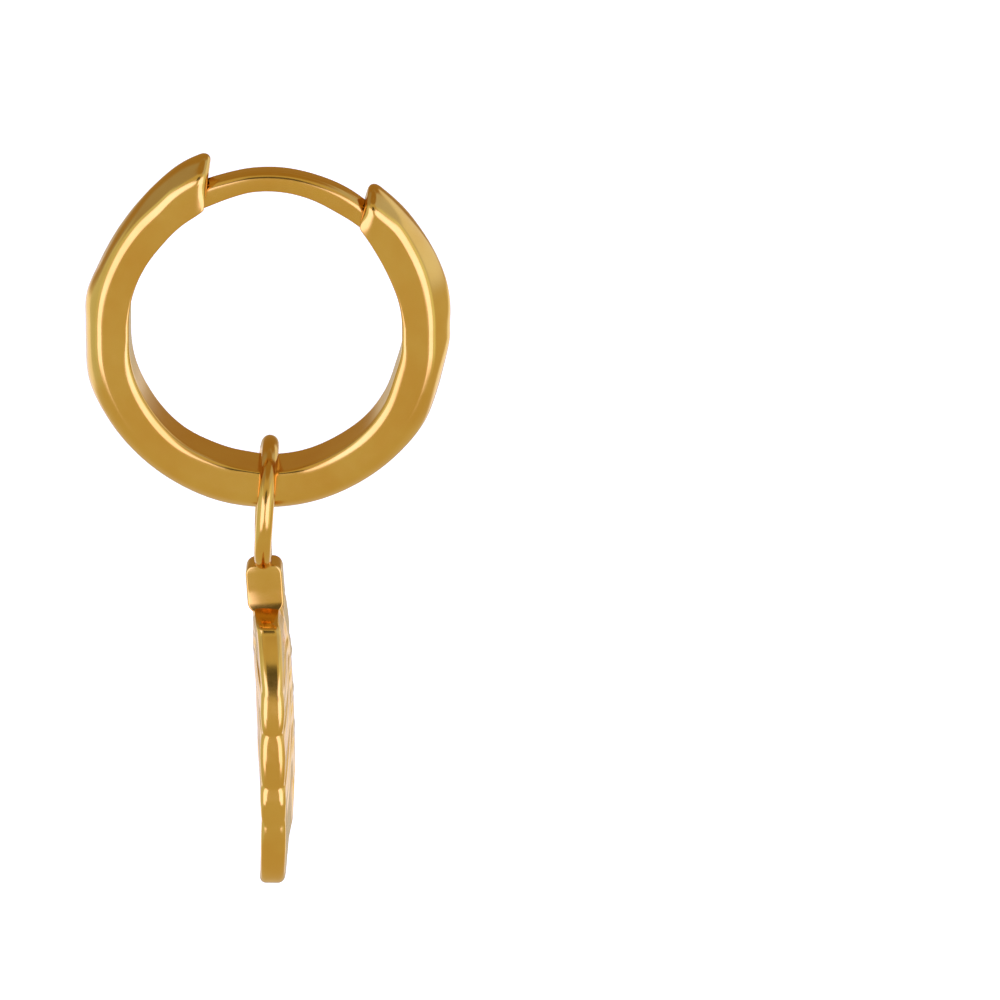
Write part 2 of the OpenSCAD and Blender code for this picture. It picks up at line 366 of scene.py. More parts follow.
@dataclass(frozen=True)
class PolishedGoldPlate:
    """Yellow gold plated over a cast core and buffed with rouge.

    The eye gets a deep yellow mirror that drifts a little between warm and pale, soft buffing marks
    and a faint waviness, which together keep a reflection from looking ruled.
    """

    name: str
    base: str = "#E2B253"
    warm: str = "#DDA748"
    edge_tint: tuple[float, float, float, float] = (1.0, 0.9, 0.72, 1.0)
    roughness: float = 0.12
    smudge: float = 0.08
    # The drift between warm and pale comes from how thick the plating grew.
    patch_mm: float = 2.4
    patch_range: Pair = (0.35, 0.65)
    # A rouge mark is a hundredth of a millimetre wide. It is drawn as coarse as it needs to show.
    mark_mm: float = 0.35
    mark_depth_mm: float = 0.0006
    mark_range: Pair = (0.3, 0.75)
    # The waviness is what buffing by hand leaves.
    wave_mm: float = 1.6
    wave_depth_mm: float = 0.004

    def make(self) -> bpy.types.Material:
        """Builds the material.

        Returns:
            The material, which reads its patterns in the piece's own frame.
        """
        material = bpy.data.materials.new(self.name)
        material.use_nodes = True
        tree = material.node_tree
        tree.nodes.clear()
        place = add_node(tree, "ShaderNodeTexCoord").outputs["Object"]
        patches = add_node(
            tree,
            "ShaderNodeTexNoise",
            inputs={"Vector": place, "Scale": 1 / (self.patch_mm * MM), "Detail": 3.0, "Roughness": 0.55},
        ).outputs["Fac"]
        patch_share = add_node(
            tree,
            "ShaderNodeMapRange",
            inputs={
                "Value": patches,
                "From Min": self.patch_range[0],
                "From Max": self.patch_range[1],
                "To Min": 0.0,
                "To Max": 1.0,
            },
        ).outputs["Result"]
        colour = add_node(
            tree,
            "ShaderNodeMix",
            {"data_type": "RGBA"},
            {MIX_SHARE: patch_share, MIX_FIRST: linear(self.base), MIX_SECOND: linear(self.warm)},
        ).outputs[MIX_RESULT]
        marks = add_node(
            tree,
            "ShaderNodeTexNoise",
            inputs={"Vector": place, "Scale": 1 / (self.mark_mm * MM), "Detail": 6.0, "Roughness": 0.7},
        ).outputs["Fac"]
        gloss = add_node(
            tree,
            "ShaderNodeMapRange",
            inputs={
                "Value": marks,
                "From Min": self.mark_range[0],
                "From Max": self.mark_range[1],
                "To Min": self.roughness,
                "To Max": self.roughness + self.smudge,
            },
        ).outputs["Result"]
        waves = add_node(
            tree,
            "ShaderNodeTexNoise",
            inputs={"Vector": place, "Scale": 1 / (self.wave_mm * MM), "Detail": 1.0},
        ).outputs["Fac"]
        wavy = add_node(
            tree,
            "ShaderNodeBump",
            inputs={"Height": waves, "Distance": self.wave_depth_mm * MM, "Strength": 1.0},
        ).outputs["Normal"]
        marked = add_node(
            tree,
            "ShaderNodeBump",
            inputs={
                "Height": marks,
                "Distance": self.mark_depth_mm * MM,
                "Strength": 1.0,
                "Normal": wavy,
            },
        ).outputs["Normal"]
        shader = add_node(
            tree,
            "ShaderNodeBsdfPrincipled",
            inputs={
                "Base Color": colour,
                "Metallic": 1.0,
                "Roughness": gloss,
                "Specular Tint": self.edge_tint,
                "Normal": marked,
            },
        )
        add_node(tree, "ShaderNodeOutputMaterial", inputs={"Surface": shader.outputs["BSDF"]})
        return material


def finish_piece(
    piece: bpy.types.Object, body: str, node: str, finish: PolishedGoldPlate
) -> bpy.types.Object:
    """Gives a piece its finish and sets it in the frame in place of a node.

    Args:
        piece: the piece.
        body: the body that it rides on.
        node: the frame node that it stands for.
        finish: its finish.

    Returns:
        The same piece.
    """
    piece.data.materials.clear()
    piece.data.materials.append(finish.make())
    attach(piece, body)
    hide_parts(node)
    LOG.info("%s: %d faces on body %s", piece.name, len(piece.data.polygons), body)
    return piece


@dataclass(frozen=True)
class HoopPlan:
    """The hoop's plan: two half rings with a short straight run between them at each side."""

    outer_r: float
    hole_r: float
    arc_z: float
    low_z: float

    def at(self, angle: float, radius: float, y: float) -> Point:
        """Gives a point of the upper or lower half ring.

        Args:
            angle: its angle from the top.
            radius: its distance from the half ring's centre.
            y: its depth.

        Returns:
            The point.
        """
        turn = math.radians(angle)
        centre = self.arc_z if math.cos(turn) > 0 else self.low_z
        return radius * math.sin(turn), y, centre + radius * math.cos(turn)

    def upper_angle(self, x: float, z: float) -> float:
        """Gives the angle from the top at which a point of the upper half lies."""
        return math.degrees(math.atan2(x, z - self.arc_z))


@dataclass
class HingePin:
    """The plain pin that the eye turns on, with its rear end dressed almost flush."""

    place: Vector
    ends: Pair
    radius: float = 0.2
    edge: float = 0.05

    def build(self) -> bpy.types.Object:
        """Builds the pin."""
        plug = lathe_y("hinge_pin_gold", self.place, self.radius, self.ends, self.edge)
        return soften(plug, CUT_CREASE_DEG)


@dataclass
class EarPost:
    """The thin arc through the ear, with the hinge's eye at one end and a snap nib at the other."""

    plan: HoopPlan
    pin: HingePin
    inset: float = 0.05
    post_t: float = 0.7
    half_w: float = 0.475
    outer_round: float = 0.3
    inner_round: float = 0.07
    tip_angle: float = 34.5
    tip_run: float = 0.12
    eye_r: float = 0.5
    eye_edge: float = 0.06
    pin_run: float = 0.03
    nib_h: float = 0.08
    nib_angle: float = 31.8
    nib_run: float = 1.4
    least_round: float = 0.02
    round_steps: int = 8
    tip_step: int = 15
    steps: int = 90
    past: float = 1.0
    # What the post gains on its true circles, by angle. The columns are the angle, the gain of
    # the outside's radius and the gain of the inside's.
    gains: Table = (
        (-34.0, 0.0, -0.08),
        (-24.0, -0.03, -0.15),
        (-15.0, -0.04, -0.11),
        (-6.0, 0.0, -0.03),
        (6.0, 0.03, -0.005),
        (18.0, 0.03, -0.03),
        (30.0, 0.05, -0.08),
        (40.0, 0.03, -0.04),
        (47.0, 0.0, 0.0),
    )

    def outer_r(self) -> float:
        """Gives the radius of the post's outside."""
        return self.plan.hole_r + self.inset + self.post_t

    def tip(self) -> Pair:
        """Gives x and z of the outer corner of the post's tip."""
        x, _, z = self.plan.at(-self.tip_angle, self.outer_r(), 0.0)
        return x, z

    def section(self, angle: float, inset: float) -> list[Point]:
        """Gives the post's section at an angle, going once round.

        Args:
            angle: the angle in the hoop's plane.
            inset: how far the whole outline is drawn in.

        Returns:
            The section's points.
        """
        base = self.plan.hole_r + self.inset
        nib = self.nib_h * smooth_step(1 - abs(-angle - self.nib_angle) / self.nib_run)
        inner = base + curve_at(self.gains, angle, 2) - nib + inset
        outer = base + self.post_t + curve_at(self.gains, angle, 1) - inset
        half = self.half_w - inset
        front: list[Pair] = []
        edges = ((inner, 1, self.inner_round, 180), (outer, -1, self.outer_round, 90))
        for edge, way, full_round, start in edges:
            bend = max(full_round - inset, self.least_round)
            middle = edge + way * bend
            for i in range(self.round_steps + 1):
                turn = math.radians(start - 90 * i / self.round_steps)
                front.append((middle + bend * math.cos(turn), -(half - bend) - bend * math.sin(turn)))
        return [self.plan.at(angle, r, y) for r, y in front + [(r, -y) for r, y in reversed(front)]]

    def build(self) -> bpy.types.Object:
        """Builds the arc, joins the eye to it and bores the eye.

        Returns:
            The post.
        """
        place = self.pin.place
        pin_deg = self.plan.upper_angle(place.x, place.z)
        run = math.degrees(self.tip_run / self.plan.hole_r)
        rings = []
        for degrees in range(0, 90, self.tip_step):
            turn = math.radians(degrees)
            angle = run * (1 - math.cos(turn)) - self.tip_angle
            rings.append(self.section(angle, self.tip_run * (1 - math.sin(turn))))
        for i in range(self.steps + 1):
            rings.append(self.section(lerp(run - self.tip_angle, pin_deg, i / self.steps), 0.0))
        post = loft("ear_post_gold", rings)
        eye = lathe_y("eye", place, self.eye_r, (-self.half_w, self.half_w), self.eye_edge)
        cut(post, eye, Cut.ADD)
        bore = lathe_y("bore", place, self.pin.radius + self.pin_run, (-self.past, self.past), 0.0)
        cut(post, bore, Cut.REMOVE)
        return soften(post, CUT_CREASE_DEG)


@dataclass(frozen=True)
class EndCut:
    """The leaning plane that cuts one end of the band."""

    hole_angle: float
    hole_r: float
    lean: float

    def angle_at(self, radius: float, back: float) -> float:
        """Gives the angle at which a circle about the hoop's centre meets the plane.

        Args:
            radius: the circle's radius.
            back: how far behind the plane the band is met, square to the plane.

        Returns:
            The angle from the top.
        """
        side = math.copysign(1.0, self.hole_angle)
        reach = self.hole_r * math.sin(math.radians(self.hole_angle - self.lean)) + side * back
        return self.lean + math.degrees(math.asin(reach / radius))


@dataclass(frozen=True)
class Station:
    """A place along the band where its section stands, straight or turned to an end's plane."""

    # The angle from the top and the height of the circle's centre. A station near an end also has
    # the end's cut, how far it is turned to that cut's plane, how far behind the plane it stands
    # and how far its outline is drawn in.
    angle: float
    centre: float
    end: EndCut | None = None
    share: float = 0.0
    back: float = 0.0
    inset: float = 0.0

    def angle_at(self, radius: float) -> float:
        """Gives the angle of the section's points at a radius.

        Args:
            radius: the radius.

        Returns:
            The angle from the top.
        """
        if self.end is None:
            return self.angle
        return lerp(self.angle, self.end.angle_at(radius, self.back), self.share)


@dataclass
class HoopBody:
    """The band: a C that is flat at front and back, domed outside and slotted at both ends."""

    plan: HoopPlan
    pin: HingePin
    post: EarPost
    band_half: float
    # The arris: its radius, how far inside the true circle it starts and how far it turns.
    arris_r: float = 0.5
    arris_in: float = 0.676
    arris_turn: float = 50.0
    # What the arris loses of its radius and place for each millimetre that an end draws in.
    arris_share: float = 0.6
    arris_least: float = 0.1
    # How full the dome is, and how deep the hole's rounding is for its height.
    dome_pull: float = 0.6
    curl_depth: float = 0.6
    catch_angle: float = 26.5
    hinge_angle: float = 42.5
    # Each end's lean and rounding: how far it draws in, over what run, and the hole's share of it.
    catch_lean: float = 8.0
    hinge_lean: float = 13.0
    end_round: float = 0.32
    end_run: float = 0.42
    hole_share: float = 0.2
    # The stretch over which the sections turn from an end's plane to straight, and the steps.
    fan_deg: float = 24.0
    fan_steps: int = 20
    end_step: int = 10
    step_deg: float = 1.25
    hole_steps: int = 5
    curl_steps: int = 9
    flat_steps: int = 9
    dome_steps: int = 12
    # The gap that the two slots leave round the post, its swinging tip and its eye, and how far
    # inside the line of the hole they start.
    slot_gap: float = 0.05
    slot_low: float = 0.5
    catch_sweep: Pair = (-10.0, -60.0)
    wall_sweep: Pair = (-110.0, -50.0)
    hinge_start: float = 20.0
    roof_past_pin: float = 20.0
    eye_inward: float = 1.6
    eye_gap: float = 2.0
    catch_steps: int = 100
    wall_steps: int = 199
    hinge_steps: int = 120
    eye_steps: int = 40
    pin_seat: float = 0.01
    pin_cover: float = 0.3
    past: float = 1.0
    # What the outside gains on the true circle, by angle.
    outside: Table = (
        (-180.0, 0.13),
        (-166.0, 0.15),
        (-150.0, 0.105),
        (-134.0, 0.095),
        (-120.0, 0.125),
        (-106.0, 0.17),
        (-93.0, 0.03),
        (-82.0, 0.06),
        (-71.0, -0.12),
        (-58.0, -0.19),
        (-48.0, -0.15),
        (-37.0, -0.01),
        (-26.0, 0.16),
        (-12.0, 0.16),
        (32.0, 0.03),
        (46.0, 0.025),
        (57.0, 0.06),
        (68.0, 0.135),
        (79.0, 0.19),
        (90.0, 0.135),
        (100.0, 0.015),
        (109.0, 0.015),
        (120.0, 0.10),
        (134.0, 0.075),
        (150.0, 0.075),
        (166.0, 0.115),
        (180.0, 0.13),
    )
    # What the radius of the outer arris gains, by angle.
    arris: Table = (
        (-180.0, 0.05),
        (-150.0, 0.0),
        (-120.0, 0.03),
        (-104.0, 0.05),
        (-90.0, 0.02),
        (-80.0, 0.0),
        (-66.0, -0.05),
        (-50.0, -0.07),
        (-40.0, -0.07),
        (-30.0, 0.08),
        (-20.0, 0.13),
        (34.0, 0.0),
        (42.0, 0.02),
        (51.0, 0.09),
        (61.0, 0.05),
        (71.0, 0.02),
        (82.0, -0.015),
        (100.0, -0.01),
        (120.0, 0.0),
        (150.0, 0.0),
        (180.0, 0.05),
    )
    # What the hole's radius gains, by angle.
    hole: Table = (
        (-180.0, 0.0),
        (-170.0, -0.055),
        (-156.0, -0.07),
        (-142.0, -0.025),
        (-122.0, -0.05),
        (-104.0, -0.03),
        (-90.0, -0.05),
        (-76.0, -0.05),
        (-62.0, -0.085),
        (-50.0, -0.115),
        (-38.0, -0.07),
        (-26.0, -0.05),
        (-14.0, -0.03),
        (36.0, 0.09),
        (44.0, 0.09),
        (54.0, -0.04),
        (66.0, -0.097),
        (80.0, -0.06),
        (92.0, -0.06),
        (106.0, -0.15),
        (120.0, -0.09),
        (134.0, -0.06),
        (148.0, -0.075),
        (162.0, -0.04),
        (172.0, -0.005),
        (180.0, 0.0),
    )
    # The rounding of the edge between the hole and the flat faces, by angle.
    hole_edge: Table = (
        (-180.0, 0.15),
        (-172.0, 0.17),
        (-163.0, 0.30),
        (-102.0, 0.30),
        (-86.0, 0.12),
        (-70.0, 0.06),
        (66.0, 0.06),
        (84.0, 0.12),
        (100.0, 0.30),
        (163.0, 0.30),
        (172.0, 0.17),
        (180.0, 0.15),
    )

    def profile(self, outer: float, flat_end: float, inner: float, curl: float, inset: float) -> list[Pair]:
        """Gives the section's front half as radius and depth, from the hole to the crest.

        Args:
            outer: the crest's radius.
            flat_end: the radius at which the flat face turns into the arris.
            inner: the hole's radius.
            curl: the rounding of the hole's edge.
            inset: how far the front face is drawn in at the arris, and less at the hole.

        Returns:
            The points.
        """
        turn = math.radians(self.arris_turn)
        half = self.band_half - inset
        hole_half = self.band_half - inset * self.hole_share
        arris = max(self.arris_r - inset * self.arris_share, self.arris_least)
        deep = curl * self.curl_depth
        line = [(inner, -(hole_half - deep) * i / self.hole_steps) for i in range(self.hole_steps)]
        for i in range(self.curl_steps + 1):
            a = math.radians(90 * i / self.curl_steps)
            line.append((inner + curl - curl * math.cos(a), -(hole_half - deep) - deep * math.sin(a)))
        for i in range(1, self.flat_steps):
            share = i / self.flat_steps
            line.append((lerp(inner + curl, flat_end, share), -lerp(hole_half, half, smooth_step(share))))
        for i in range(self.dome_steps + 1):
            a = turn * i / self.dome_steps
            line.append((flat_end + arris * math.sin(a), -(half - arris) - arris * math.cos(a)))
        # The dome leaves the arris along its slope and reaches the crest square to the radius.
        start_r, start_y = line[-1]
        meet_y = start_y + (outer - start_r) * math.tan(turn)
        near = (lerp(start_r, outer, self.dome_pull), lerp(start_y, meet_y, self.dome_pull))
        far = (outer, lerp(0.0, meet_y, self.dome_pull))
        for i in range(1, self.dome_steps + 1):
            t = i / self.dome_steps
            weights = ((1 - t) ** 3, 3 * t * (1 - t) ** 2, 3 * t**2 * (1 - t), t**3)
            knots = ((start_r, start_y), near, far, (outer, 0.0))
            line.append(tuple(sum(w * knot[k] for w, knot in zip(weights, knots)) for k in (0, 1)))
        return line

    def section(self, station: Station) -> list[Point]:
        """Gives the band's section at a station.

        Args:
            station: the station.

        Returns:
            The section's points, going once round.
        """
        hole_key = wrapped(station.angle_at(self.plan.hole_r))
        outer_key = wrapped(station.angle_at(self.plan.outer_r))
        inset = station.inset
        arris_r = self.plan.outer_r - self.arris_in + curve_at(self.arris, outer_key)
        front = self.profile(
            outer=self.plan.outer_r + curve_at(self.outside, outer_key) - inset,
            flat_end=arris_r - inset * self.arris_share,
            inner=self.plan.hole_r + curve_at(self.hole, hole_key) + inset * self.hole_share,
            curl=curve_at(self.hole_edge, hole_key),
            inset=inset,
        )
        points: list[Point] = []
        for radius, y in front + [(r, -y) for r, y in reversed(front[1:-1])]:
            turn = math.radians(station.angle_at(radius))
            points.append((radius * math.sin(turn), y, station.centre + radius * math.cos(turn)))
        return points

    def end_stations(self, hole_angle: float, lean: float) -> list[Station]:
        """Gives the stations of one end.

        Args:
            hole_angle: the end's angle at the hole.
            lean: how far its plane leans to the right at the top.

        Returns:
            The stations, from the end's plane to where the band stands straight.
        """
        end = EndCut(hole_angle, self.plan.hole_r, lean)
        base = hole_angle + math.copysign(self.fan_deg, hole_angle)
        rows: list[Station] = []
        for degrees in range(0, 90, self.end_step):
            turn = math.radians(degrees)
            back = self.end_run * (1 - math.cos(turn))
            inset = self.end_round * (1 - math.sin(turn))
            rows.append(Station(base, self.plan.arc_z, end, 1.0, back, inset))
        for i in range(self.fan_steps + 1):
            rows.append(Station(base, self.plan.arc_z, end, 1 - i / self.fan_steps, self.end_run))
        return rows

    def stations(self) -> list[Station]:
        """Gives every station of the band.

        Returns:
            The stations, from the catch's end round the bottom to the hinge's end.
        """
        catch = self.end_stations(-self.catch_angle, self.catch_lean)
        hinge = self.end_stations(self.hinge_angle, self.hinge_lean)
        rows = list(catch)
        for start, stop, centre in (
            (catch[-1].angle, -90.0, self.plan.arc_z),
            (-90.0, -270.0, self.plan.low_z),
            (-270.0, hinge[-1].angle - 360, self.plan.arc_z),
        ):
            count = round((start - stop) / self.step_deg)
            rows += [Station(lerp(start, stop, i / count), centre) for i in range(count + 1)]
        return [row for i, row in enumerate(rows) if i != len(catch)][:-1] + list(reversed(hinge))

    def prism(self, name: str, outline: list[Pair]) -> bpy.types.Object:
        """Extrudes an outline in the hoop's plane through the slot's width.

        Args:
            name: the object's name.
            outline: x and z of its corners.

        Returns:
            A closed mesh.
        """
        half = self.post.half_w + self.slot_gap
        front = [(x, -half, z) for x, z in outline]
        back = [(x, half, z) for x, z in outline]
        return loft(name, [front, back])

    def arc(self, centre: Pair, radius: float, start: float, stop: float, count: int) -> list[Pair]:
        """Gives points in the hoop's plane along an arc, by angle from the top, clockwise."""
        angles = [math.radians(lerp(start, stop, i / count)) for i in range(count + 1)]
        return [(centre[0] + radius * math.sin(a), centre[1] + radius * math.cos(a)) for a in angles]

    def catch_slot(self) -> bpy.types.Object:
        """Makes the slot that takes the post's tip, whose far wall follows the tip's swing.

        Returns:
            A closed mesh to cut away.
        """
        pin = (self.pin.place.x, self.pin.place.z)
        centre = (0.0, self.plan.arc_z)
        start, stop = self.catch_sweep
        lowest = self.plan.hole_r - self.slot_low
        roof_r = self.post.outer_r() + self.slot_gap
        tip_swing = math.dist(pin, self.post.tip()) + self.slot_gap
        over = self.arc(centre, roof_r, start, stop, self.catch_steps)
        roof = [p for p in over if math.dist(p, pin) < tip_swing]
        swing = self.arc(pin, tip_swing, *self.wall_sweep, self.wall_steps)
        wall = [p for p in swing if lowest < math.dist(p, centre) < roof_r and p[1] > centre[1]]
        wall.sort(key=lambda p: -math.dist(p, centre))
        return self.prism("catch_slot", roof + wall + self.arc(centre, lowest, start, start, 1)[:1])

    def hinge_slot(self) -> bpy.types.Object:
        """Makes the slot that takes the post's eye, open towards the hole.

        Returns:
            A closed mesh to cut away.
        """
        pin = (self.pin.place.x, self.pin.place.z)
        centre = (0.0, self.plan.arc_z)
        pin_deg = self.plan.upper_angle(*pin)
        roof_r = self.post.outer_r() + self.slot_gap
        eye_room = self.post.eye_r + self.slot_gap
        # The roof runs over the post until it meets the round room of the eye.
        stop = pin_deg + self.roof_past_pin
        roof = [
            p
            for p in self.arc(centre, roof_r, self.hinge_start, stop, self.hinge_steps)
            if math.dist(p, pin) > eye_room and self.plan.upper_angle(*p) < pin_deg
        ]
        meet = math.degrees(math.atan2(roof[-1][0] - pin[0], roof[-1][1] - pin[1]))
        over = self.arc(pin, eye_room, meet + self.eye_gap, pin_deg + 90, self.eye_steps)
        # Past the eye the slot's side runs straight in to the hole.
        turn = math.radians(pin_deg)
        side = over[-1]
        far = (side[0] - self.eye_inward * math.sin(turn), side[1] - self.eye_inward * math.cos(turn))
        lowest = self.plan.hole_r - self.slot_low
        return self.prism(
            "hinge_slot", roof + over + [far] + self.arc(centre, lowest, self.hinge_start, 0, 1)[:1]
        )

    def pin_bore(self) -> bpy.types.Object:
        """Makes the pin's blind hole, which runs in from the back face."""
        ends = (-self.band_half + self.pin_cover, self.band_half + self.past)
        return lathe_y("pin_bore", self.pin.place, self.pin.radius + self.pin_seat, ends, 0.0)

    def build(self) -> bpy.types.Object:
        """Builds the band and cuts its two slots and its bore.

        Returns:
            The band.
        """
        band = loft("hoop_body_gold", [self.section(station) for station in self.stations()])
        for tool in (self.catch_slot(), self.hinge_slot(), self.pin_bore()):
            cut(band, tool, Cut.REMOVE)
        return soften(band, CUT_CREASE_DEG)


@dataclass
class CharmRing:
    """The round wire ring that the charm hangs from, and the block soldered under it."""

    centre_z: float
    wire: float = 0.62
    radius: float = 2.1325
    lean_deg: float = 3.5
    turn_deg: float = 1.8
    # How far the wire bows to the left, and how flat that bow is above and below the ring's middle.
    bow: float = 0.08
    bow_powers: tuple[int, int] = (2, 4)
    around: int = 144
    across: int = 40
    collar_w: float = 1.32
    collar_deep: float = 1.1
    collar_h: float = 1.75
    collar_lean: float = 4.0
    shoulder_r: float = 0.36
    edge_r: float = 0.07
    # How far the collar is soldered up round the ring's foot.
    solder_depth: float = 0.2
    # The solder's fillet that spreads the collar's foot.
    foot_spread: float = 0.22
    foot_h: float = 0.8
    side_steps: int = 8
    shoulder_step: int = 9
    corner_step: int = 15

    def foot(self) -> Vector:
        """Gives the middle of the collar's top, at the leaning ring's foot.

        Returns:
            The point.
        """
        lean = math.radians(self.lean_deg)
        top = self.centre_z - self.radius - self.wire / 2 + self.solder_depth
        return Vector((-self.radius * math.sin(lean), 0, top))

    def root(self) -> Vector:
        """Gives the middle of the collar's underside."""
        lean = math.radians(self.collar_lean)
        return self.foot() + Vector((math.sin(lean), 0, -1)) * self.collar_h

    def build_wire(self) -> bpy.types.Object:
        """Builds the ring as a round wire that leans and turns a little and bows to the left.

        Returns:
            A closed mesh.
        """
        lean = math.radians(self.lean_deg)
        turn = math.radians(self.turn_deg)
        points: list[Point] = []
        above, below = self.bow_powers
        for i in range(self.around):
            a = 2 * math.pi * i / self.around
            power = above if math.sin(a) > 0 else below
            bowed = -self.bow * (1 - abs(math.sin(a)) ** power)
            for j in range(self.across):
                b = 2 * math.pi * j / self.across
                r = self.radius + self.wire / 2 * math.cos(b)
                side = self.wire / 2 * math.sin(b) + bowed
                y, rise = r * math.cos(a), r * math.sin(a)
                x = side * math.cos(lean) + rise * math.sin(lean)
                z = rise * math.cos(lean) - side * math.sin(lean)
                points.append(
                    (
                        x * math.cos(turn) - y * math.sin(turn),
                        x * math.sin(turn) + y * math.cos(turn),
                        z + self.centre_z,
                    )
                )
        # The last ring of points is the first one again.
        closed = skin([points[: self.across]] * (self.around + 1))
        faces = [tuple(k % len(points) for k in face) for face in closed]
        return outward(make_mesh("charm_gold", points, faces))

    def build_collar(self) -> bpy.types.Object:
        """Builds the collar as a leaning block with round shoulders and dressed edges.

        Returns:
            A closed mesh.
        """
        half_w, half_d = self.collar_w / 2, self.collar_deep / 2
        lean = math.radians(self.collar_lean)
        foot = self.foot()
        levels = []
        for degrees in range(0, 91, self.shoulder_step):
            turn = math.radians(degrees)
            wide = half_w - self.shoulder_r * (1 - math.sin(turn))
            drop = self.shoulder_r * (1 - math.cos(turn))
            reach = max(1 - drop / self.edge_r, 0.0)
            deep = half_d - self.edge_r * (1 - math.sqrt(1 - reach**2))
            levels.append((wide, deep, drop))
        middle = [
            (half_w, half_d, lerp(self.shoulder_r, self.collar_h - self.shoulder_r, i / self.side_steps))
            for i in range(1, self.side_steps)
        ]
        levels += middle + [(wide, deep, self.collar_h - drop) for wide, deep, drop in reversed(levels)]
        levels = [
            (wide, deep + self.foot_spread * max(1 - (self.collar_h - drop) / self.foot_h, 0.0) ** 2, drop)
            for wide, deep, drop in levels
        ]
        corner = [
            (math.cos(math.radians(t)) * self.edge_r, math.sin(math.radians(t)) * self.edge_r)
            for t in range(0, 91, self.corner_step)
        ]
        rings = []
        for wide, deep, drop in levels:
            quarter = [(wide - self.edge_r + x, deep - self.edge_r + y) for x, y in corner]
            outline = quarter + [(-x, y) for x, y in reversed(quarter)]
            outline += [(-x, -y) for x, y in quarter] + [(x, -y) for x, y in reversed(quarter)]
            rings.append(
                [
                    (
                        foot.x + x * math.cos(lean) + drop * math.sin(lean),
                        y,
                        foot.z + x * math.sin(lean) - drop * math.cos(lean),
                    )
                    for x, y in outline
                ]
            )
        return loft("collar", rings)


